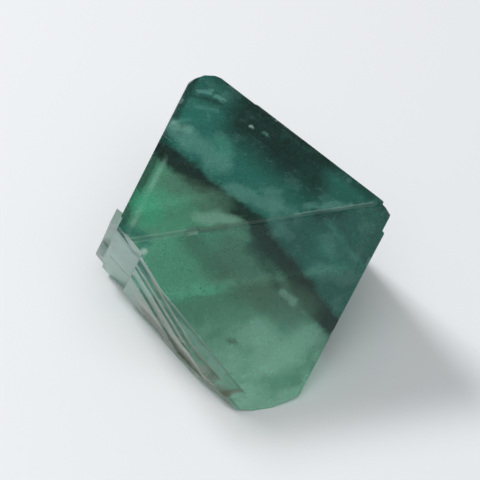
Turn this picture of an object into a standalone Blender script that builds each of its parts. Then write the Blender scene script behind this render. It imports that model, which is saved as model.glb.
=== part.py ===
# Fluorite octahedron: one cleaved crystal that lies on one of its eight faces.
#
# Fluorite splits along four planes only, so the eight big faces, the ledges where a layer came
# away and the nicks along the edges are all parallel to the same four pairs of directions.
# Metres, +Z up. The origin is on the surface below the crystal, under the middle of its box.
import random
from itertools import combinations
from math import cos, pi, radians, sin, sqrt

import bmesh
import bpy
from mathutils import Matrix, Vector

# Driving dimensions
EDGE = 0.026                          # edge of the regular octahedron that the crystal comes close to
FACE_REACH = EDGE / sqrt(6)           # its centre to each face
TIP_REACH = EDGE / sqrt(2)            # its centre to each tip
FRONT_HEADING = radians(-78.3)        # way the front face looks, from +X towards +Y
EDGE_ROUNDING = 0.00035               # worn edges of the big faces
ROUNDING_STEPS = 2                    # facets across that rounding
SAME_POINT = 1e-7                     # closer points than this are one
NICK_SEED = 11
NICK_SIZES = (0.00035, 0.00075)       # centre to face of the small bites
NICK_STRETCH = (0.55, 1.9)            # how unequal one bite's own faces are
CUTTER_OVERHANG = 0.004               # how far a cutter stands out of the crystal
NICK_SPREAD = 0.86                    # share of an edge's length that its nicks are spread over
NICK_SLOT = (0.2, 0.8)                # where a nick may lie within its share of the edge
NICK_LIFT = (0.3, 0.7)                # how far its centre stands off the edge, in nick sizes
NICKS_SPARED = (4, 27)                # places by the pale left corner that stay whole
FACE_COLOUR = (0.05, 0.26, 0.18, 1.0)
FACE_ROUGHNESS = 0.12
FLUORITE_IOR = 1.434

# Distance of each face from the centre, as a share of FACE_REACH. Cleaving never leaves them
# equal, so most tips end in a short edge and not in a point.
FACE_SHARE = {
    "top": 0.930, "base": 0.907,
    "front": 0.960, "back": 0.980,
    "upper_right": 0.971, "lower_left": 1.160,
    "upper_left": 1.087, "lower_right": 1.123,
}

# The lower left side broke off a few degrees away from its cleavage plane.
ROUGH_HEADING = FRONT_HEADING - radians(67.2)
ROUGH_LEAN = radians(-15.5)
ROUGH_SHARE = 1.072

# The lower tip behind the left side broke off flat: its distance as a share of TIP_REACH.
BROKEN_TIP_SHARE = 0.925

# Worn corners: the three planes that meet there and the radius that wear gave the corner.
WORN_CORNERS = [
    ("top", "back", "upper_left", 0.0011),
    ("top", "back", "upper_right", 0.0011),
    ("top", "front", "upper_right", 0.0008),
    ("front", "upper_right", "lower_right", 0.0009),
    ("front", "base", "lower_right", 0.0010),
    ("front", "base", "rough", 0.0010),
    ("base", "upper_right", "lower_right", 0.0012),
    ("base", "upper_right", "back", 0.0012),
    ("upper_left", "back", "broken_tip", 0.0008),
    ("base", "back", "broken_tip", 0.0008),
    ("top", "upper_left", "rough", 0.0007),
    ("top", "front", "rough", 0.0007),
]

# One more layer still stands on the lower left end of the upper left face: its thickness, how far
# its riser is from the centre towards the lower left face, and its top towards the top face.
PROUD_LAYER = 0.00075
PROUD_START = 0.0072
PROUD_TOP = 0.0052

# Ledges: a layer of this depth came off the first face, from its edge with the second face
# inwards over this width. Where a third face is named, the ledge starts from that side and
# ends at this distance from the centre, measured towards that face.
LEDGES = [
    ("lower_left", 0.00165, "front", 0.0010, "top", -0.0078),
    ("lower_left", 0.00085, "front", 0.0024, "top", -0.0066),
    ("lower_left", 0.00040, "front", 0.0046, "top", -0.0050),
    ("lower_left", 0.00235, "upper_left", 0.0034, None, 0),
    ("lower_left", 0.00200, "base", 0.0018, "upper_left", 0.0025),
    ("top", 0.00026, "upper_left", 0.0012, "lower_left", -0.0010),
    ("top", 0.00016, "upper_right", 0.0009, "lower_right", 0.0010),
    ("front", 0.00014, "lower_right", 0.0010, None, 0),
    ("lower_right", 0.00050, "base", 0.0030, "back", -0.0040),
    ("lower_right", 0.00024, "base", 0.0062, "back", 0.0015),
    ("lower_right", 0.00032, "upper_right", 0.0018, None, 0),
    ("upper_right", 0.00045, "back", 0.0026, "base", 0.0020),
    ("upper_right", 0.00020, "back", 0.0055, "top", 0.0025),
    ("upper_right", 0.00028, "lower_right", 0.0015, None, 0),
    ("back", 0.00048, "upper_left", 0.0028, "base", -0.0030),
    ("back", 0.00022, "upper_left", 0.0066, "base", 0.0030),
    ("back", 0.00036, "base", 0.0014, "upper_right", 0.0005),
    ("upper_left", 0.00040, "back", 0.0022, "base", -0.0030),
    ("upper_left", 0.00018, "lower_left", 0.0036, "top", -0.0045),
    ("base", 0.00030, "back", 0.0016, "lower_left", 0.0010),
]

# Steps on the broken side, along its edge with the front face: how deep, how far in from that
# face, and how low they start, measured from the centre towards the top.
BROKEN_STEPS = [
    (0.00062, 0.0024, -0.0068),
    (0.00036, 0.0038, -0.0045),
    (0.00020, 0.0068, -0.0080),
]

# Nicks: how many bites each edge carries, named by the two faces that share it.
NICKS = [
    ("top", "front", 2), ("top", "upper_left", 3), ("top", "upper_right", 2),
    ("front", "lower_left", 4), ("front", "lower_right", 2), ("lower_left", "upper_left", 3),
    ("lower_left", "base", 3), ("lower_right", "upper_right", 3), ("upper_right", "back", 3),
    ("upper_left", "back", 3), ("back", "base", 2), ("lower_right", "base", 2),
]


def slanted(heading, rises):
    """Normal of one of the six leaning faces: a third up or down, the rest sideways."""
    flat = sqrt(8) / 3
    return Vector((flat * cos(heading), flat * sin(heading), 1 / 3 if rises else -1 / 3))


third = 2 * pi / 3
NORMALS = {
    "top": Vector((0, 0, 1)),
    "base": Vector((0, 0, -1)),
    "front": slanted(FRONT_HEADING, True),
    "upper_right": slanted(FRONT_HEADING + third, True),
    "upper_left": slanted(FRONT_HEADING - third, True),
    "back": slanted(FRONT_HEADING + pi, False),
    "lower_left": slanted(FRONT_HEADING + third + pi, False),
    "lower_right": slanted(FRONT_HEADING - third + pi, False),
}
REACH = {face: share * FACE_REACH for face, share in FACE_SHARE.items()}


def clear_scene():
    for old in list(bpy.data.objects):
        bpy.data.objects.remove(old, do_unlink=True)


def new_collection(name):
    collection = bpy.data.collections.new(name)
    bpy.context.scene.collection.children.link(collection)
    return collection


def cleave(bm, normal, reach):
    """Split the solid at a plane and keep what lies below it, with the cut closed."""
    everything = bm.verts[:] + bm.edges[:] + bm.faces[:]
    cut = bmesh.ops.bisect_plane(bm, geom=everything, dist=SAME_POINT, plane_co=normal * reach,
                                 plane_no=normal, clear_outer=True)
    rim = [part for part in cut["geom_cut"] if isinstance(part, bmesh.types.BMEdge)]
    bmesh.ops.edgeloop_fill(bm, edges=rim)


def cleaved_block(name, planes, collection, centre=Vector((0, 0, 0))):
    """A cube cleaved down to the planes given, each a normal and its distance from the centre."""
    bm = bmesh.new()
    bmesh.ops.create_cube(bm, size=4 * EDGE)
    for normal, reach in planes:
        cleave(bm, normal, reach)
    bmesh.ops.recalc_face_normals(bm, faces=bm.faces)
    bmesh.ops.translate(bm, verts=bm.verts, vec=centre)
    mesh = bpy.data.meshes.new(name)
    bm.to_mesh(mesh)
    bm.free()
    block = bpy.data.objects.new(name, mesh)
    collection.objects.link(block)
    return block


def hide_cutter(cutter):
    cutter.hide_render = True
    cutter.display_type = "WIRE"


def outer_planes():
    """Every plane the crystal broke along, by name: its normal and its distance."""
    planes = {face: (NORMALS[face], REACH[face]) for face in NORMALS}
    flat = cos(ROUGH_LEAN)
    rough = Vector((flat * cos(ROUGH_HEADING), flat * sin(ROUGH_HEADING), sin(ROUGH_LEAN)))
    planes["rough"] = (rough, ROUGH_SHARE * FACE_REACH)
    tip = (NORMALS["lower_left"] + NORMALS["back"]).normalized()
    planes["broken_tip"] = (tip, BROKEN_TIP_SHARE * TIP_REACH)
    return planes


def edge_point(face_a, face_b, along):
    """A point on the edge between two faces, this far from the edge's middle."""
    a, b = NORMALS[face_a], NORMALS[face_b]
    between = a.dot(b)
    weight_a = (REACH[face_a] - between * REACH[face_b]) / (1 - between ** 2)
    weight_b = (REACH[face_b] - between * REACH[face_a]) / (1 - between ** 2)
    return weight_a * a + weight_b * b + along * a.cross(b).normalized()


def worn_corner_planes(planes, names, radius):
    """Small facets that all touch one ball, tucked into the corner where three planes meet."""
    normals = [planes[name][0] for name in names]
    depths = Vector([planes[name][1] - radius for name in names])
    ball = Matrix(normals).inverted() @ depths
    outward = sum(normals, Vector()).normalized()
    facets = [outward]
    for first, second in combinations(normals, 2):
        facets.append((outward + (first + second).normalized()).normalized())
    return [(facet, facet.dot(ball) + radius) for facet in facets]


def worn_edge_planes(first, second):
    """Two narrow facets along an edge, in place of the rounding that the proud layer carried off."""
    a, b = NORMALS[first], NORMALS[second]
    edge = edge_point(first, second, 0)
    ball = edge - EDGE_ROUNDING * (a + b) / (1 + a.dot(b))
    facets = [(2 * a + b).normalized(), (a + 2 * b).normalized()]
    return [(facet, facet.dot(ball) + EDGE_ROUNDING) for facet in facets]


def make_crystal(collection):
    planes = outer_planes()
    blank = dict(planes)
    outward, reach = planes["upper_left"]
    blank["upper_left"] = (outward, reach + PROUD_LAYER)
    crystal = cleaved_block("fluorite_octahedron", blank.values(), collection)
    bm = bmesh.new()
    bm.from_mesh(crystal.data)
    bmesh.ops.bevel(bm, geom=bm.edges[:], offset=EDGE_ROUNDING, segments=ROUNDING_STEPS,
                    profile=0.5, affect="EDGES", clamp_overlap=True)
    facets = worn_edge_planes("upper_left", "top") + worn_edge_planes("upper_left", "back")
    for *names, radius in WORN_CORNERS:
        facets += worn_corner_planes(planes, names, radius)
    for normal, distance in facets:
        cleave(bm, normal, distance)
    bmesh.ops.recalc_face_normals(bm, faces=bm.faces)
    bm.to_mesh(crystal.data)
    bm.free()
    return crystal


def make_layer_cutters(collection):
    """What leaves the proud layer standing: all that lies above the face on two sides of it."""
    floor = (-NORMALS["upper_left"], -REACH["upper_left"])
    limits = [(NORMALS[other], REACH[other] + CUTTER_OVERHANG) for other in NORMALS]
    riser = (NORMALS["lower_left"], PROUD_START)
    shelf = (-NORMALS["top"], -PROUD_TOP)
    for name, wall in (("riser", riser), ("shelf", shelf)):
        hide_cutter(cleaved_block(f"layer_{name}_cutter", [floor, wall] + limits, collection))


def make_ledge_cutter(number, ledge, collection):
    """The layer that came away: everything above the ledge's floor and outside its riser."""
    face, depth, side, width, end, end_reach = ledge
    planes = [(-NORMALS[face], depth - REACH[face]), (-NORMALS[side], width - REACH[side])]
    if end:
        planes.append((-NORMALS[end], -end_reach))
    planes += [(NORMALS[other], REACH[other] + CUTTER_OVERHANG) for other in NORMALS]
    cutter = cleaved_block(f"ledge_cutter_{number:02d}", planes, collection)
    hide_cutter(cutter)


def make_step_cutter(number, step, collection):
    """A step on the broken side: what lies above its floor and near the front face."""
    depth, width, low_end = step
    normal, reach = outer_planes()["rough"]
    planes = [(-normal, depth - reach), (-NORMALS["front"], width - REACH["front"])]
    planes += [(normal, reach + CUTTER_OVERHANG), (-NORMALS["top"], -low_end)]
    planes += [(NORMALS[other], REACH[other] + CUTTER_OVERHANG) for other in NORMALS]
    hide_cutter(cleaved_block(f"step_cutter_{number:02d}", planes, collection))


def make_nick_cutters(collection):
    rng = random.Random(NICK_SEED)
    number = 0
    for face_a, face_b, count in NICKS:
        for place in range(count):
            slot = (place + rng.uniform(*NICK_SLOT)) / count - 0.5
            size = rng.uniform(*NICK_SIZES)
            outward = (NORMALS[face_a] + NORMALS[face_b]).normalized()
            centre = edge_point(face_a, face_b, slot * NICK_SPREAD * EDGE)
            centre += rng.uniform(*NICK_LIFT) * size * outward
            planes = [(NORMALS[face], size * rng.uniform(*NICK_STRETCH)) for face in NORMALS]
            if number not in NICKS_SPARED:
                hide_cutter(cleaved_block(f"nick_cutter_{number:02d}", planes, collection, centre))
            number += 1


def make_material():
    material = bpy.data.materials.new("green fluorite")
    material.use_nodes = True
    shader = material.node_tree.nodes["Principled BSDF"]
    shader.inputs["Base Color"].default_value = FACE_COLOUR
    shader.inputs["Roughness"].default_value = FACE_ROUGHNESS
    shader.inputs["Metallic"].default_value = 0.0
    shader.inputs["IOR"].default_value = FLUORITE_IOR
    return material


def stand_on_origin(crystal, cutters):
    """Move the crystal and its cutters together, so that the finished box is centred over the origin."""
    bpy.context.view_layer.update()
    finished = crystal.evaluated_get(bpy.context.evaluated_depsgraph_get())
    corners = [crystal.matrix_world @ vertex.co for vertex in finished.data.vertices]
    xs = [corner.x for corner in corners]
    ys = [corner.y for corner in corners]
    shift = Vector((-(min(xs) + max(xs)) / 2, -(min(ys) + max(ys)) / 2, REACH["base"]))
    for piece in [crystal] + cutters[:]:
        piece.location = shift


def main():
    clear_scene()
    parts = new_collection("fluorite octahedron")
    cutters = new_collection("cutters")
    crystal = make_crystal(parts)
    crystal.data.materials.append(make_material())
    for number, ledge in enumerate(LEDGES):
        make_ledge_cutter(number, ledge, cutters)
    for number, step in enumerate(BROKEN_STEPS):
        make_step_cutter(number, step, cutters)
    make_layer_cutters(cutters)
    make_nick_cutters(cutters)
    cut = crystal.modifiers.new("ledges and nicks", "BOOLEAN")
    cut.operation = "DIFFERENCE"
    cut.operand_type = "COLLECTION"
    cut.collection = cutters
    cut.solver = "EXACT"
    stand_on_origin(crystal, list(cutters.objects))


main()
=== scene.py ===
# Fluorite octahedron: the cleaved crystal, dressed for looks over the fixed model that it stands for.
import random
from itertools import combinations
from math import cos, pi, radians, sin, sqrt

import bpy
from mathutils import Matrix, Vector


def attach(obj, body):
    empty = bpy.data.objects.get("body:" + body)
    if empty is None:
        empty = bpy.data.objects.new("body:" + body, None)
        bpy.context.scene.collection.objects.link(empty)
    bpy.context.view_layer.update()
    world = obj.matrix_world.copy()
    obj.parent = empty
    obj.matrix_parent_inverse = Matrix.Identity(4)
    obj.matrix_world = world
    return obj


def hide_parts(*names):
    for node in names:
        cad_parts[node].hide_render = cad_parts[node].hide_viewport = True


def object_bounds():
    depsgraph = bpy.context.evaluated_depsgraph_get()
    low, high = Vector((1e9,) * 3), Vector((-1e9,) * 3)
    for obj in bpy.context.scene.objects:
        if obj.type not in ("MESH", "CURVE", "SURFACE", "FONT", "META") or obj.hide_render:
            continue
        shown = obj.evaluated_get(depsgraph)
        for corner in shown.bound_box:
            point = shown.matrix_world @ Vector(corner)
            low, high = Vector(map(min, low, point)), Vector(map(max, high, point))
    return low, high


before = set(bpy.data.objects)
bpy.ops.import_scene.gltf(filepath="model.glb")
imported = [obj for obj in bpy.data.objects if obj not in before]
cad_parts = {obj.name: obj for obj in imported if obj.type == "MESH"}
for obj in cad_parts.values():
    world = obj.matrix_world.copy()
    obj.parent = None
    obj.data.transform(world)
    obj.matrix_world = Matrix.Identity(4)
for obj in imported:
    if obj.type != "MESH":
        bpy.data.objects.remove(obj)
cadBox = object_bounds()
scene = bpy.context.scene
print("frame loaded, box corners", *cadBox)

# the crystal's own faces, in metres
crystal = {
    "edge": 0.026,                       # edge of the regular octahedron it comes close to
    "frontHeading": radians(-78.3),      # way the front face looks, from +X towards +Y
    "rounding": 0.00035,                 # worn edges of the big faces
    "roundingSteps": 4,
    "layerEdgeSteps": 3,                 # facets on the two edges that lose their rounding with the proud layer
    "blankSize": 4,                      # the block it is cleaved from, in edges
    "cutTolerance": 1e-7,
    "overhang": 0.004,                   # how far a cutter stands out of the crystal
    "faceShare": {                       # each face's distance from the centre, against a regular one
        "top": 0.930, "base": 0.907, "front": 0.960, "back": 0.980,
        "upperRight": 0.971, "upperLeft": 1.087, "lowerLeft": 1.160, "lowerRight": 1.123,
    },
    "roughTurn": radians(-67.2),         # the lower left side broke a little off its cleavage plane
    "roughLean": radians(-15.5),
    "roughShare": 1.072,
    "brokenTip": 0.925,                  # the lower tip behind it, against a sharp one
    "proudLayer": 0.00075,               # a last layer that still stands on the upper left face
    "proudStart": 0.0072,
    "proudTop": 0.0052,
}

wornCorners = [                          # the planes that meet there, and the radius of the wear
    ("top", "back", "upperLeft", 0.0011),
    ("top", "back", "upperRight", 0.0011),
    ("top", "front", "upperRight", 0.0008),
    ("front", "upperRight", "lowerRight", 0.0009),
    ("front", "base", "lowerRight", 0.0010),
    ("front", "base", "rough", 0.0010),
    ("base", "upperRight", "lowerRight", 0.0012),
    ("base", "upperRight", "back", 0.0012),
    ("upperLeft", "back", "brokenTip", 0.0008),
    ("base", "back", "brokenTip", 0.0008),
    ("top", "upperLeft", "rough", 0.0007),
    ("top", "front", "rough", 0.0007),
]

# a layer this deep came off the first face, from its edge with the second inwards over this width,
# and where a third face is named, from that side up to this distance from the centre
ledges = [
    ("lowerLeft", 0.00165, "front", 0.0010, "top", -0.0078),
    ("lowerLeft", 0.00085, "front", 0.0024, "top", -0.0066),
    ("lowerLeft", 0.00040, "front", 0.0046, "top", -0.0050),
    ("lowerLeft", 0.00235, "upperLeft", 0.0034, None, 0),
    ("lowerLeft", 0.00200, "base", 0.0018, "upperLeft", 0.0025),
    ("top", 0.00026, "upperLeft", 0.0012, "lowerLeft", -0.0010),
    ("top", 0.00016, "upperRight", 0.0009, "lowerRight", 0.0010),
    ("front", 0.00014, "lowerRight", 0.0010, None, 0),
    ("lowerRight", 0.00050, "base", 0.0030, "back", -0.0040),
    ("lowerRight", 0.00024, "base", 0.0062, "back", 0.0015),
    ("lowerRight", 0.00032, "upperRight", 0.0018, None, 0),
    ("upperRight", 0.00045, "back", 0.0026, "base", 0.0020),
    ("upperRight", 0.00020, "back", 0.0055, "top", 0.0025),
    ("upperRight", 0.00028, "lowerRight", 0.0015, None, 0),
    ("back", 0.00048, "upperLeft", 0.0028, "base", -0.0030),
    ("back", 0.00022, "upperLeft", 0.0066, "base", 0.0030),
    ("back", 0.00036, "base", 0.0014, "upperRight", 0.0005),
    ("upperLeft", 0.00040, "back", 0.0022, "base", -0.0030),
    ("upperLeft", 0.00018, "lowerLeft", 0.0036, "top", -0.0045),
    ("base", 0.00030, "back", 0.0016, "lowerLeft", 0.0010),
]

# steps on the broken side: how deep, how far in from the front face, and how far down they run
brokenSteps = [(0.00062, 0.0024, -0.0068), (0.00036, 0.0038, -0.0045), (0.00020, 0.0068, -0.0080)]

nicks = {
    "seed": 11,
    "sizes": (0.00035, 0.00075),         # centre to face of the small bites
    "stretch": (0.55, 1.9),              # how unequal one bite's own faces are
    "spread": 0.86,
    "slot": (0.2, 0.8),
    "lift": (0.3, 0.7),
    "spared": (4, 27),                   # places by the pale left corner that stay whole
    "perEdge": [                         # how many cutters are set along each edge
        ("top", "front", 2), ("top", "upperLeft", 3), ("top", "upperRight", 2),
        ("front", "lowerLeft", 4), ("front", "lowerRight", 2), ("lowerLeft", "upperLeft", 3),
        ("lowerLeft", "base", 3), ("lowerRight", "upperRight", 3), ("upperRight", "back", 3),
        ("upperLeft", "back", 3), ("back", "base", 2), ("lowerRight", "base", 2),
    ],
}


def slanted(heading, rises):             # one of the six leaning faces
    flat = sqrt(8) / 3
    return Vector((flat * cos(heading), flat * sin(heading), 1 / 3 if rises else -1 / 3))


third = 2 * pi / 3
frontHeading = crystal["frontHeading"]
normals = {
    "top": Vector((0, 0, 1)), "base": Vector((0, 0, -1)),
    "front": slanted(frontHeading, True),
    "upperRight": slanted(frontHeading + third, True),
    "upperLeft": slanted(frontHeading - third, True),
    "back": slanted(frontHeading + pi, False),
    "lowerLeft": slanted(frontHeading + third + pi, False),
    "lowerRight": slanted(frontHeading - third + pi, False),
}
faceReach = crystal["edge"] / sqrt(6)
tipReach = crystal["edge"] / sqrt(2)
reach = {face: crystal["faceShare"][face] * faceReach for face in normals}
planes = {face: (normals[face], reach[face]) for face in normals}
roughLean = crystal["roughLean"]
roughHeading = frontHeading + crystal["roughTurn"]
planes["rough"] = (Vector((cos(roughLean) * cos(roughHeading), cos(roughLean) * sin(roughHeading),
                           sin(roughLean))), crystal["roughShare"] * faceReach)
planes["brokenTip"] = ((normals["lowerLeft"] + normals["back"]).normalized(),
                       crystal["brokenTip"] * tipReach)


# modelling

def deselectAll():
    if bpy.context.object and bpy.context.object.mode != "OBJECT":
        bpy.ops.object.mode_set(mode="OBJECT")
    bpy.ops.object.select_all(action="DESELECT")


def makeActive(thing):
    deselectAll()
    thing.select_set(True)
    bpy.context.view_layer.objects.active = thing


def cleave(normal, distance):            # in edit mode: keep what lies below a plane
    bpy.ops.mesh.select_all(action="SELECT")
    bpy.ops.mesh.bisect(plane_co=normal * distance, plane_no=normal, use_fill=True,
                        clear_outer=True, threshold=crystal["cutTolerance"])


def cleavedBlock(name, sides, centre=Vector((0, 0, 0))):
    deselectAll()
    bpy.ops.mesh.primitive_cube_add(size=crystal["blankSize"] * crystal["edge"], location=(0, 0, 0))
    block = bpy.context.object
    block.name = name
    bpy.ops.object.mode_set(mode="EDIT")
    for normal, distance in sides:
        cleave(normal, distance)
    bpy.ops.mesh.select_all(action="SELECT")
    bpy.ops.mesh.normals_make_consistent(inside=False)
    bpy.ops.transform.translate(value=centre)
    bpy.ops.object.mode_set(mode="OBJECT")
    return block


def edgePoint(faceA, faceB, along):      # on the edge between two faces, from its middle
    a, b = normals[faceA], normals[faceB]
    between = a.dot(b)
    weightA = (reach[faceA] - between * reach[faceB]) / (1 - between ** 2)
    weightB = (reach[faceB] - between * reach[faceA]) / (1 - between ** 2)
    return weightA * a + weightB * b + along * a.cross(b).normalized()


def wornCornerFacets(names, radius):     # small facets that all touch one ball tucked into the corner
    meeting = [planes[name][0] for name in names]
    ball = Matrix(meeting).inverted() @ Vector([planes[name][1] - radius for name in names])
    outward = sum(meeting, Vector()).normalized()
    facets = [outward]
    for first, second in combinations(meeting, 2):
        facets.append((outward + (first + second).normalized()).normalized())
    return [(facet, facet.dot(ball) + radius) for facet in facets]


def wornEdgeFacets(faceA, faceB):        # the same, along an edge
    a, b = normals[faceA], normals[faceB]
    steps = crystal["layerEdgeSteps"]
    ball = edgePoint(faceA, faceB, 0) - crystal["rounding"] * (a + b) / (1 + a.dot(b))
    facets = [a.lerp(b, (step + 1) / (steps + 1)).normalized() for step in range(steps)]
    return [(facet, facet.dot(ball) + crystal["rounding"]) for facet in facets]


def ledgeCutter(ledge):
    face, depth, side, width, end, endReach = ledge
    sides = [(-normals[face], depth - reach[face]), (-normals[side], width - reach[side])]
    if end:
        sides.append((-normals[end], -endReach))
    sides += [(normals[other], reach[other] + crystal["overhang"]) for other in normals]
    return cleavedBlock("ledge", sides)


def stepCutter(depth, width, end):        # a step on the broken side, along its edge with the front face
    normal, distance = planes["rough"]
    sides = [(-normal, depth - distance), (-normals["front"], width - reach["front"]),
             (normal, distance + crystal["overhang"]), (-normals["top"], -end)]
    sides += [(normals[other], reach[other] + crystal["overhang"]) for other in normals]
    return cleavedBlock("step", sides)


def layerCutters():                      # what leaves the proud layer standing
    floorSide = (-normals["upperLeft"], -reach["upperLeft"])
    limits = [(normals[other], reach[other] + crystal["overhang"]) for other in normals]
    riser = (normals["lowerLeft"], crystal["proudStart"])
    shelf = (-normals["top"], -crystal["proudTop"])
    return [cleavedBlock("layer", [floorSide, wall] + limits) for wall in (riser, shelf)]


def nickCutters(chips):
    rng = random.Random(chips["seed"])
    cutters, number = [], 0
    for faceA, faceB, count in chips["perEdge"]:
        for place in range(count):
            slot = (place + rng.uniform(*chips["slot"])) / count - 0.5
            size = rng.uniform(*chips["sizes"])
            outward = (normals[faceA] + normals[faceB]).normalized()
            centre = edgePoint(faceA, faceB, slot * chips["spread"] * crystal["edge"])
            centre += rng.uniform(*chips["lift"]) * size * outward
            sides = [(normals[face], size * rng.uniform(*chips["stretch"])) for face in normals]
            if number not in chips["spared"]:
                cutters.append(cleavedBlock("nick", sides, centre))
            number += 1
    return cutters


def cutAway(body, cutters):
    group = bpy.data.collections.new("cutters")
    scene.collection.children.link(group)
    for cutter in cutters:
        group.objects.link(cutter)
    makeActive(body)
    cut = body.modifiers.new("cut", "BOOLEAN")
    cut.operation = "DIFFERENCE"
    cut.operand_type = "COLLECTION"
    cut.collection = group
    cut.solver = "EXACT"
    bpy.ops.object.modifier_apply(modifier=cut.name)
    for cutter in cutters:
        bpy.data.objects.remove(cutter, do_unlink=True)
    bpy.data.collections.remove(group)


def moveMesh(thing, shift):
    makeActive(thing)
    bpy.ops.object.mode_set(mode="EDIT")
    bpy.ops.mesh.select_all(action="SELECT")
    bpy.ops.transform.translate(value=shift)
    bpy.ops.object.mode_set(mode="OBJECT")


def makeCrystal():
    blank = dict(planes)
    blank["upperLeft"] = (normals["upperLeft"], reach["upperLeft"] + crystal["proudLayer"])
    body = cleavedBlock("green_fluorite_crystal", blank.values())
    bpy.ops.object.mode_set(mode="EDIT")
    bpy.ops.mesh.select_all(action="SELECT")
    bpy.ops.mesh.bevel(offset=crystal["rounding"], segments=crystal["roundingSteps"], profile=0.5,
                       affect="EDGES", clamp_overlap=True)
    facets = wornEdgeFacets("upperLeft", "top") + wornEdgeFacets("upperLeft", "back")
    for *names, radius in wornCorners:
        facets += wornCornerFacets(names, radius)
    for normal, distance in facets:
        cleave(normal, distance)
    bpy.ops.mesh.select_all(action="SELECT")
    bpy.ops.mesh.normals_make_consistent(inside=False)
    bpy.ops.object.mode_set(mode="OBJECT")
    print("blank crystal", len(body.data.polygons), "faces")
    cutters = [ledgeCutter(ledge) for ledge in ledges] + [stepCutter(*step) for step in brokenSteps]
    cutAway(body, cutters + layerCutters() + nickCutters(nicks))
    # slide it over the solid it stands for
    xs = [vertex.co.x for vertex in body.data.vertices]
    ys = [vertex.co.y for vertex in body.data.vertices]
    low, high = cadBox
    shift = Vector(((low[0] + high[0] - min(xs) - max(xs)) / 2,
                    (low[1] + high[1] - min(ys) - max(ys)) / 2, reach["base"] + low[2]))
    moveMesh(body, shift)
    markFacets(body, shift)
    return body, shift


facetMarks = {
    "onFace": 0.985,                     # how closely a facet has to follow a crystal face
    "onStrip": 0.85,                     # the broken side at the lower left follows its face less closely
    "shelfDepth": 0.003,                 # a shelf counts to it if it lies deeper than this below the top
    "shelfPlace": 0.007,                 # and further out than this
    "narrow": 1.2e-6,                    # a smaller facet, in square metres, is a nick or a narrow riser
    "riserDepth": 0.0008,
    "nickFrost": 0.9,
    "riserFrost": 0.75,
}


def markFacets(body, centre):            # how dull each facet is, and if it is worn round, which also gets painted shade, or on the left strip
    frost = body.data.attributes.new("frost", "FLOAT", "FACE")
    strip = body.data.attributes.new("strip", "FLOAT", "FACE")
    worn = body.data.attributes.new("worn", "FLOAT", "FACE")
    for polygon in body.data.polygons:
        place = polygon.center - centre
        face = max(normals, key=lambda name: normals[name].dot(polygon.normal))
        agrees = normals[face].dot(polygon.normal)
        depth = reach[face] - normals[face].dot(place)
        outwards = normals["lowerLeft"].dot(place)
        onShelf = face == "top" and depth > facetMarks["shelfDepth"] and outwards > facetMarks["shelfPlace"]
        onStrip = onShelf or (face == "lowerLeft" and agrees > facetMarks["onStrip"])
        rounded = agrees < facetMarks["onFace"] and not onStrip
        amount = 0.0                     # what wear has rounded stays clear
        if not rounded and polygon.area < facetMarks["narrow"]:
            amount = facetMarks["nickFrost"]
        elif not rounded and not onStrip and depth > facetMarks["riserDepth"]:
            amount = facetMarks["riserFrost"]
        frost.data[polygon.index].value = amount
        strip.data[polygon.index].value = float(onStrip)
        worn.data[polygon.index].value = float(rounded)


# materials

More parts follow.
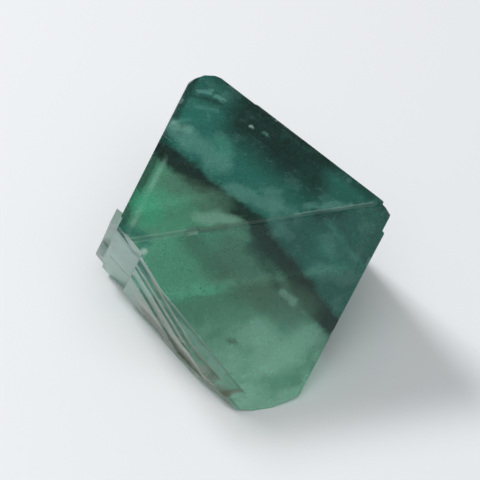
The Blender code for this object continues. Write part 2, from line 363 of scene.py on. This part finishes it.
class Wire:                              # a socket in a material, so that sums read as sums
    def __init__(self, tree, socket):
        self.tree = tree
        self.socket = socket

    def node(self, kind, settings, inputs, out=0):
        made = self.tree.nodes.new(kind)
        for name, value in settings.items():
            setattr(made, name, value)
        for name, value in inputs.items():
            if isinstance(value, Wire):
                self.tree.links.new(value.socket, made.inputs[name])
            else:
                made.inputs[name].default_value = value
        return Wire(self.tree, made.outputs[out])

    def math(self, operation, first, second=0.0):
        return self.node("ShaderNodeMath", {"operation": operation}, {0: first, 1: second})

    def __add__(self, other):
        return self.math("ADD", self, other)

    def __radd__(self, other):
        return self.math("ADD", other, self)

    def __sub__(self, other):
        return self.math("SUBTRACT", self, other)

    def __rsub__(self, other):
        return self.math("SUBTRACT", other, self)

    def __mul__(self, other):
        return self.math("MULTIPLY", self, other)

    def __rmul__(self, other):
        return self.math("MULTIPLY", other, self)

    def __neg__(self):
        return self.math("MULTIPLY", self, -1.0)

    def magnitude(self):
        return self.math("ABSOLUTE", self)

    def rise(self, low, high):           # 0 below low, 1 above high, smooth between
        return self.node("ShaderNodeMapRange", {"interpolation_type": "SMOOTHSTEP"},
                         {"Value": self, "From Min": low, "From Max": high})

    def near(self, place, half, soft):   # 1 within half of a place, 0 beyond a soft border
        return 1.0 - (self - place).magnitude().rise(half, half + soft)

    def noise(self, scale, detail=3.0, roughness=0.5):
        return self.node("ShaderNodeTexNoise", {},
                         {"Vector": self, "Scale": scale, "Detail": detail, "Roughness": roughness})

    def lamellae(self, scale, detail=3.0, roughness=0.6):    # random heights along one line
        return self.node("ShaderNodeTexNoise", {"noise_dimensions": "1D"},
                         {"W": self, "Scale": scale, "Detail": detail, "Roughness": roughness})

    def shaken(self, scale, amount):     # a place moved about a little, for ragged borders
        noise = self.node("ShaderNodeTexNoise", {},
                          {"Vector": self, "Scale": scale, "Detail": 3.0}, out=1)
        centred = self.node("ShaderNodeVectorMath", {"operation": "SUBTRACT"},
                            {0: noise, 1: (0.5, 0.5, 0.5)})
        return self.node("ShaderNodeVectorMath", {"operation": "MULTIPLY_ADD"},
                         {0: centred, 1: (amount, amount, amount), 2: self})

    def veil(self, start, end, half, soft):    # 1 round the line between two places, 0 away from it
        start, end = Vector(start), Vector(end)
        run = end - start
        offset = self.node("ShaderNodeVectorMath", {"operation": "SUBTRACT"}, {0: self, 1: start})
        share = offset.along(run / max(run.length_squared, 0.01))
        share = share.node("ShaderNodeClamp", {}, {"Value": share})
        foot = self.node("ShaderNodeVectorMath", {"operation": "SCALE"}, {0: run, "Scale": share})
        gap = self.node("ShaderNodeVectorMath", {"operation": "DISTANCE"}, {0: offset, 1: foot}, out=1)
        return 1.0 - gap.rise(half, half + soft)

    def along(self, direction):          # how far a point lies towards a direction
        return self.node("ShaderNodeVectorMath", {"operation": "DOT_PRODUCT"},
                         {0: self, 1: direction}, out=1)

    def faceMark(self, name):            # one of the marks that the modelling left on each face
        return self.node("ShaderNodeAttribute", {"attribute_name": name}, {}, out=2)

    def blend(self, colourA, colourB):   # this value mixes two colours
        return self.node("ShaderNodeMix", {"data_type": "RGBA"},
                         {0: self, 6: colourA, 7: colourB}, out=2)

    def to(self, socket):
        self.tree.links.new(self.socket, socket)


def startMaterial(name):
    material = bpy.data.materials.new(name)
    material.use_nodes = True
    tree = material.node_tree
    point = Wire(tree, tree.nodes.new("ShaderNodeTexCoord").outputs["Object"])
    return material, tree, tree.nodes["Principled BSDF"], point


def millimetres(point, centre):          # from the crystal's centre
    offset = point.node("ShaderNodeVectorMath", {"operation": "SUBTRACT"}, {0: point, 1: centre})
    return offset.node("ShaderNodeVectorMath", {"operation": "SCALE"}, {0: offset, "Scale": 1000.0})


look = {
    "deep": (0.030, 0.225, 0.180, 1),        # blue-green of the dark side
    "deepest": (0.004, 0.034, 0.028, 1),
    "teal": (0.190, 0.480, 0.415, 1),        # paler blue-green streaks and clouds in it
    "emerald": (0.150, 0.480, 0.310, 1),     # green of the light side
    "bright": (0.100, 0.640, 0.360, 1),
    "pale": (0.460, 0.820, 0.640, 1),
    "low": (0.520, 0.980, 0.740, 1),         # palest green, painted light towards the bottom corner
    "smoke": (0.150, 0.300, 0.210, 1),       # cloud along the light side of the band
    "band": (0.004, 0.020, 0.017, 1),
    "frost": (0.620, 0.820, 0.740, 1),
    "strip": (0.860, 0.790, 0.710, 1),       # the stepped side at the lower left
    "stripDark": (0.300, 0.195, 0.150, 1),
    "stripPink": (1.000, 0.860, 0.790, 1),
    # mint of the painted highlight along the stepped side's front edge
    "stripMint": (0.620, 1.000, 0.850, 1),
    "stripCorner": (0.860, 0.960, 0.920, 1),
    "bandPlace": -0.45,                      # millimetres from the centre, towards the upper right face
    "bandHalf": 1.05,
    "transmission": 0.75,
    "ior": 1.434,
    "absorb": (0.10, 0.62, 0.48, 1),
    "density": 28.0,
    "coat": 0.04,
    "coatRoughness": 0.05,
    "roughness": 0.2,                        # of a clean face, and what each finish adds to it
    "duller": {"patches": 0.14, "frost": 0.25, "strip": 0.15, "worn": 0.2},
    "relief": 0.00001,
    "cleavageLines": (("upperRight", 2.3, 0.56), ("front", 1.7, 0.58), ("lowerLeft", 1.3, 0.58)),
}

zones = {
    # noises: scale, detail, roughness
    "wander": (0.28, 4.0, 0.55),             # bends the layers
    "cloud": (0.42, 5.0, 0.62),
    "fine": (1.7, 4.0, 0.6),
    # where each zone begins and where it is full, in millimetres along its own direction
    "lightSide": (-1.6, 0.2),
    "darkSide": (-1.2, 1.2),
    "low": (5.5, 13.0),
    "left": (10.5, 15.0),
    "back": (8.5, 10.0),
    "sectorIn": (3.4, 7.4),
    "sectorLeft": (-7.6, -5.0),
    "sectorRight": (3.6, 6.0),
    "farEdgeShade": (8.9, 10.0),
    "pastBand": (0.4, 1.6),
    "smokeFrom": (-5.5, -0.6),
    "smokeTo": (0.0, 0.8),
    "smokeRight": (1.0, 5.2),
    # painted shade and painted highlight along the upper left edge
    "rimShade": (10.55, 11.0),
    "rimLight": (-3.0, 0.0),
    "rimGlint": (10.2, 0.1, 0.25),            # place, half width, soft border
    "stripBrown": (0.3, 0.65),
    "stripGlintEdge": (0.3, 0.7),
    "stripCorner": (4.0, 6.5),
    "under": (0.0, 1.0),                     # painted light, on what lies just above the surface that the crystal lies on
}

# how much of its colour each zone takes
strength = {
    "low": 0.85, "left": 0.4, "back": 0.35, "sector": 0.95, "farEdgeShade": 0.6, "patches": 0.45,
    "layers": 0.3, "smoke": 0.6, "band": 0.95, "rimShade": 0.75, "rimGlint": 0.65, "strip": 0.85,
    "worn": 0.3, "under": 0.9, "frost": 0.5,
}

# flecks and veils in the crystal, and some painted highlights and shade: from, to, in millimetres from its
# centre, then the half width, how far the border fades, the colour and how strong it is
veils = [
    ((-6.4, 5.9, 9.9), (-1.7, 0.6, 9.9), 0.35, 1.3, "teal", 0.75),
    ((-6.6, 6.3, 9.9), (-5.0, 5.2, 9.9), 0.15, 0.6, "pale", 0.35),
    ((-1.7, 2.5, 9.9), (-1.9, 3.6, 9.9), 0.4, 1.2, "bright", 0.25),
    ((-0.8, -2.7, 9.9), (3.4, -5.4, 9.9), 0.3, 1.0, "teal", 0.7),
    ((3.2, -3.2, 9.9), (3.6, -7.2, 8.6), 0.35, 0.8, "teal", 0.6),
    ((3.4, -6.6, 9.9), (4.7, -7.2, 8.1), 0.2, 0.7, "teal", 0.5),
    ((6.3, -5.0, 9.9), (10.5, -5.0, 9.9), 0.12, 0.45, "teal", 0.7),
    ((7.6, -6.0, 9.7), (9.4, -6.0, 9.7), 0.3, 0.7, "deepest", 0.6),
    ((7.2, -8.0, 4.1), (10.7, -7.9, 2.7), 0.3, 1.0, "teal", 0.5),
    ((-4.4, 12.0, 9.9), (-0.6, 9.4, 9.9), 0.9, 1.6, "deepest", 0.45),
    ((1.1, 6.0, 9.9), (1.2, 5.9, 9.9), 0.14, 0.22, "frost", 1.0),
    ((2.2, 5.1, 9.9), (2.7, 4.7, 9.9), 0.05, 0.35, "teal", 0.8),
    ((-3.9, 11.2, 9.9), (-3.0, 10.9, 9.9), 0.12, 0.4, "teal", 0.8),
    ((-2.4, 10.3, 9.9), (-1.6, 9.7, 9.9), 0.1, 0.4, "teal", 0.8),
    ((-4.8, 10.4, 9.9), (-1.7, 9.4, 9.9), 0.05, 0.4, "deepest", 0.7),
    ((-4.4, 8.9, 9.9), (-2.6, 8.4, 9.9), 0.1, 0.5, "teal", 0.4),
    ((-6.5, -1.8, 9.9), (-2.1, -4.8, 9.9), 0.5, 1.6, "smoke", 0.7),
    ((-8.5, -6.3, 9.9), (-9.4, -3.8, 9.9), 0.4, 1.6, "bright", 0.7),
    # painted highlight: a pale sheen on the top face by the ridge, and below it painted shade as a dark line
    # along the ridge
    ((-3.9, -6.5, 9.9), (-0.6, -7.1, 9.9), 0.3, 0.9, "pale", 0.55),
    ((-5.0, -8.2, 9.6), (0.5, -7.5, 9.6), 0.1, 0.5, "smoke", 0.8),
    ((-0.6, -8.6, 7.6), (3.0, -9.6, 2.4), 0.7, 2.0, "smoke", 0.75),
    ((1.6, -8.4, 7.3), (3.3, -9.2, 4.9), 0.4, 1.1, "deepest", 0.75),
    ((-0.6, -10.0, 4.4), (5.6, -9.7, 0.4), 0.9, 2.2, "smoke", 0.55),
    ((4.3, -9.3, 2.4), (5.1, -9.5, 1.3), 0.15, 0.5, "pale", 0.7),
    ((3.2, -9.0, 3.5), (3.7, -9.2, 2.9), 0.1, 0.6, "deepest", 0.5),
    # painted light: pale patches low on the front face, where light gathers
    ((1.7, -11.2, -1.5), (3.5, -11.9, -4.3), 0.6, 1.8, "low", 0.8),
    ((4.8, -11.3, -3.6), (6.5, -10.6, -2.5), 0.5, 1.6, "low", 0.7),
    ((-1.1, -11.9, -1.9), (-0.4, -11.9, -2.2), 0.1, 0.5, "smoke", 0.8),
    ((3.5, -12.9, -7.0), (5.6, -12.4, -6.9), 0.3, 1.1, "emerald", 0.8),
    # on the stepped side and its corner
    ((-10.8, -8.1, 9.6), (-8.9, -9.4, 9.5), 0.3, 0.8, "deep", 0.8),
    ((-11.6, -6.6, 9.2), (-11.0, -7.6, 7.6), 0.3, 1.1, "deep", 0.5),
    ((-10.3, -8.8, 8.4), (-9.0, -9.9, 8.5), 0.16, 0.3, "stripCorner", 1.0),
    ((-9.9, -8.1, 6.4), (-9.2, -8.9, 5.0), 0.6, 0.8, "deep", 0.75),
    ((-12.9, -0.4, -2.0), (-11.4, -1.2, -3.7), 0.1, 0.5, "stripDark", 0.7),
    ((-10.1, -5.9, 0.3), (-9.4, -7.3, 0.9), 0.9, 0.6, "stripMint", 0.8),
    ((-10.0, -6.0, 0.2), (-9.5, -7.1, 0.7), 0.4, 0.5, "pale", 0.6),
    # painted shade: the stepped side darkens low down, towards the floor
    ((-9.4, -4.3, -6.6), (-5.6, -9.0, -7.6), 0.9, 0.8, "stripDark", 0.85),
    ((-4.9, -10.3, -6.8), (-1.2, -13.4, -8.7), 0.7, 0.7, "stripDark", 0.8),
    ((-10.0, -4.2, -4.3), (-6.0, -9.5, -4.6), 0.35, 0.5, "stripPink", 0.9),
    ((-6.0, -9.5, -4.6), (-3.4, -11.6, -6.8), 0.35, 0.5, "stripPink", 0.9),
    ((-9.0, -6.4, -2.3), (-5.5, -10.1, -3.7), 0.1, 0.3, "stripDark", 0.5),
    ((-5.5, -10.1, -3.7), (-2.3, -12.3, -6.3), 0.1, 0.3, "stripDark", 0.5),
    # painted highlight: a mint line along the lower edge with the front face
    ((-7.6, -9.6, 1.2), (-5.5, -11.3, -0.5), 0.12, 0.35, "stripMint", 0.8),
    ((-5.5, -11.3, -0.5), (-1.7, -12.3, -5.7), 0.12, 0.35, "stripMint", 0.8),
]


def zoneColour(mm, fine):                # growth zones, seen all through the crystal, with painted light at the bottom and painted shade along the upper right edge
    leftCorner = (normals["top"] + normals["lowerLeft"]).normalized()
    rightCorner = (normals["top"] + normals["lowerRight"]).normalized()
    farCorner = (normals["top"] + normals["back"]).normalized()
    wander = mm.noise(*zones["wander"]) - 0.5
    cloud = mm.noise(*zones["cloud"])
    across = mm.along(normals["upperRight"])
    towardsRight = mm.along(normals["lowerRight"]) + 1.4 * wander
    height = mm.along(farCorner)
    depth = across - look["bandPlace"] + 1.3 * wander
    lightSide = 1.0 - depth.rise(*zones["lightSide"])
    colour = depth.rise(*zones["darkSide"]).blend(look["emerald"], look["deep"])
    # the light side: brighter towards the left corner, and palest at the bottom, painted light where light
    # gathers there
    low = (-height + 2.5 * wander).rise(*zones["low"]) * lightSide
    colour = (strength["low"] * low * cloud.rise(0.28, 0.6)).blend(colour, look["low"])
    left = (mm.along(leftCorner) + 3.0 * wander).rise(*zones["left"])
    colour = (strength["left"] * left * cloud.rise(0.35, 0.6)).blend(colour, look["bright"])
    back = mm.along(normals["back"]).rise(*zones["back"])
    colour = (strength["back"] * back).blend(colour, look["deep"])
    # the dark side: deepest towards the upper right edge, with painted shade along that edge, and with paler
    # layers and clouds
    sector = (across + 1.2 * wander).rise(*zones["sectorIn"]) * towardsRight.rise(*zones["sectorLeft"])
    sector = sector * (1.0 - towardsRight.rise(*zones["sectorRight"]))
    colour = (strength["sector"] * sector).blend(colour, look["deepest"])
    # painted shade along the upper right edge
    colour = (strength["farEdgeShade"] * across.rise(*zones["farEdgeShade"])).blend(colour, look["deepest"])
    pastBand = depth.rise(*zones["pastBand"])
    patches = cloud.rise(0.5, 0.66) * pastBand * (1.0 - 0.8 * sector)
    colour = (strength["patches"] * patches).blend(colour, look["teal"])
    layers = across.lamellae(1.1).rise(0.5, 0.72) * cloud.rise(0.4, 0.6) * pastBand
    colour = (strength["layers"] * layers * (1.0 - 0.6 * sector)).blend(colour, look["teal"])
    # smoke on the light side of the band, then the band itself
    smoke = depth.rise(*zones["smokeFrom"]) * (1.0 - depth.rise(*zones["smokeTo"]))
    smoke = smoke * mm.along(rightCorner).rise(*zones["smokeRight"])
    smoke = smoke * (0.4 + 0.6 * cloud.rise(0.35, 0.62))
    colour = (strength["smoke"] * smoke).blend(colour, look["smoke"])
    half = look["bandHalf"]
    band = 1.0 - (depth.magnitude() + 0.9 * (fine - 0.5)).rise(0.5 * half, 1.35 * half)
    return (strength["band"] * band).blend(colour, look["band"])


def rimShadeAndGlint(mm, colour):               # painted shade as a dark rim inside the upper left edge, with a painted highlight as a pale line along it
    outwards = mm.along(normals["upperLeft"])
    lightSide = 1.0 - mm.along(normals["upperRight"]).rise(*zones["rimLight"])
    colour = (strength["rimShade"] * outwards.rise(*zones["rimShade"])).blend(colour, look["deepest"])
    line = outwards.near(*zones["rimGlint"]) * lightSide
    return (strength["rimGlint"] * line).blend(colour, look["pale"])


def stripColour(mm, fine):               # the stepped side, with a painted highlight lined along its edge with the front face
    shake = fine - 0.5
    inward = reach["front"] * 1000 - mm.along(normals["front"]) + 0.5 * shake
    down = reach["upperLeft"] * 1000 - mm.along(normals["upperLeft"]) + 2.0 * shake
    clean = 0.45 + 0.55 * fine.rise(*zones["stripBrown"])
    colour = clean.blend(look["stripDark"], look["strip"])
    # painted highlight: a mint line along the edge with the front face
    colour = inward.rise(*zones["stripGlintEdge"]).blend(look["stripMint"], colour)
    return down.rise(*zones["stripCorner"]).blend(look["stripCorner"], colour)


def fluoriteRelief(mm):                  # faint waviness and cleavage lines, in patches
    relief = 0.8 * mm.noise(0.9, 2.0)
    for face, scale, shown in look["cleavageLines"]:
        lines = mm.along(normals[face]).lamellae(scale).rise(0.47, 0.53)
        relief = relief + 0.4 * lines * mm.noise(0.3 * scale, 1.0).rise(shown, shown + 0.1)
    return relief.node("ShaderNodeBump", {}, {"Height": relief, "Distance": look["relief"],
                                              "Strength": 1.0})


def fluoriteMaterial(centre):
    material, tree, shader, point = startMaterial("green fluorite")
    mm = millimetres(point, centre)
    fine = mm.noise(*zones["fine"])
    colour = rimShadeAndGlint(mm, zoneColour(mm, fine))
    strip = point.faceMark("strip")
    colour = (strength["strip"] * strip).blend(colour, stripColour(mm, fine))
    ragged = mm.shaken(0.8, 1.4)
    for start, end, half, soft, tint, share in veils:
        colour = (share * ragged.veil(start, end, half, soft)).blend(colour, look[tint])
    worn = point.faceMark("worn")
    # painted shade: the worn, rounded edges are darkened so that they glint less
    colour = (strength["worn"] * worn).blend(colour, look["deepest"])
    # painted light: the bottom faces are paled where the crystal's own shadow would darken them
    under = 1.0 - point.along(Vector((0, 0, 1000))).rise(*zones["under"])
    colour = (strength["under"] * under).blend(colour, look["low"])
    frost = point.faceMark("frost") * (0.45 + 0.55 * fine.rise(0.35, 0.6))
    colour = (strength["frost"] * frost).blend(colour, look["frost"])
    colour.to(shader.inputs["Base Color"])
    duller = look["duller"]
    rough = look["roughness"] + duller["patches"] * fine.rise(0.45, 0.7) + duller["frost"] * frost
    rough = rough + duller["strip"] * strip + duller["worn"] * worn
    rough.to(shader.inputs["Roughness"])
    fluoriteRelief(mm).to(shader.inputs["Normal"])
    shader.inputs["Coat Weight"].default_value = look["coat"]
    shader.inputs["Coat Roughness"].default_value = look["coatRoughness"]
    shader.inputs["Transmission Weight"].default_value = look["transmission"]
    shader.inputs["IOR"].default_value = look["ior"]
    absorb = point.node("ShaderNodeVolumeAbsorption", {}, {"Color": look["absorb"],
                                                           "Density": look["density"]})
    absorb.to(tree.nodes["Material Output"].inputs["Volume"])
    return material


body, centre = makeCrystal()
print("crystal of", len(body.data.polygons), "faces, its centre at", tuple(round(c, 5) for c in centre))
body.data.materials.clear()
body.data.materials.append(fluoriteMaterial(centre))
print("fluorite of", len(body.data.materials[0].node_tree.nodes), "nodes")
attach(body, "root")
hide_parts("fluorite_octahedron")

# floor, light and camera

studio = {
    "floorSize": 3.0,
    "floorColour": (0.80, 0.82, 0.84, 1),
    "floorRoughness": 0.6,
    "elevation": radians(45.8),
    "distance": 0.294,
    "lens": 222.0,
    "nearest": 0.01,
    "keyPlace": (-0.24, 0.17, 0.40),
    "keySize": 0.13,
    "keyPower": 1.4,
    "fillPlace": (0.05, -0.30, 0.62),
    "fillSize": 0.5,
    "fillPower": 2.1,
    "skyColour": (1, 1, 1, 1),
    "sky": 0.25,
}


def aim(thing, target):
    thing.rotation_euler = (Vector(target) - thing.location).to_track_quat("-Z", "Y").to_euler()


deselectAll()
bpy.ops.mesh.primitive_plane_add(size=studio["floorSize"], location=(0, 0, 0))
floor = bpy.context.object
floor.name = "floor"
floorMaterial, floorTree, floorShader, floorPoint = startMaterial("pale floor")
floorShader.inputs["Base Color"].default_value = studio["floorColour"]
floorShader.inputs["Roughness"].default_value = studio["floorRoughness"]
floor.data.materials.append(floorMaterial)

camera = bpy.data.objects.new("camera", bpy.data.cameras.new("camera"))
scene.collection.objects.link(camera)
away = Vector((0, -cos(studio["elevation"]), sin(studio["elevation"])))
camera.location = centre + studio["distance"] * away
camera.data.lens = studio["lens"]
camera.data.clip_start = studio["nearest"]
aim(camera, centre)
scene.camera = camera

for name in ("key", "fill"):
    softbox = bpy.data.objects.new(name, bpy.data.lights.new(name, "AREA"))
    scene.collection.objects.link(softbox)
    softbox.data.size = studio[name + "Size"]
    softbox.data.energy = studio[name + "Power"]
    softbox.location = studio[name + "Place"]
    softbox.visible_glossy = name == "key"       # only the key light glints on the edges
    aim(softbox, centre)

world = bpy.data.worlds.new("studio")
world.use_nodes = True
world.node_tree.nodes["Background"].inputs["Color"].default_value = studio["skyColour"]
world.node_tree.nodes["Background"].inputs["Strength"].default_value = studio["sky"]
scene.world = world
scene.view_settings.view_transform = "Standard"
print("floor, camera and lights set")
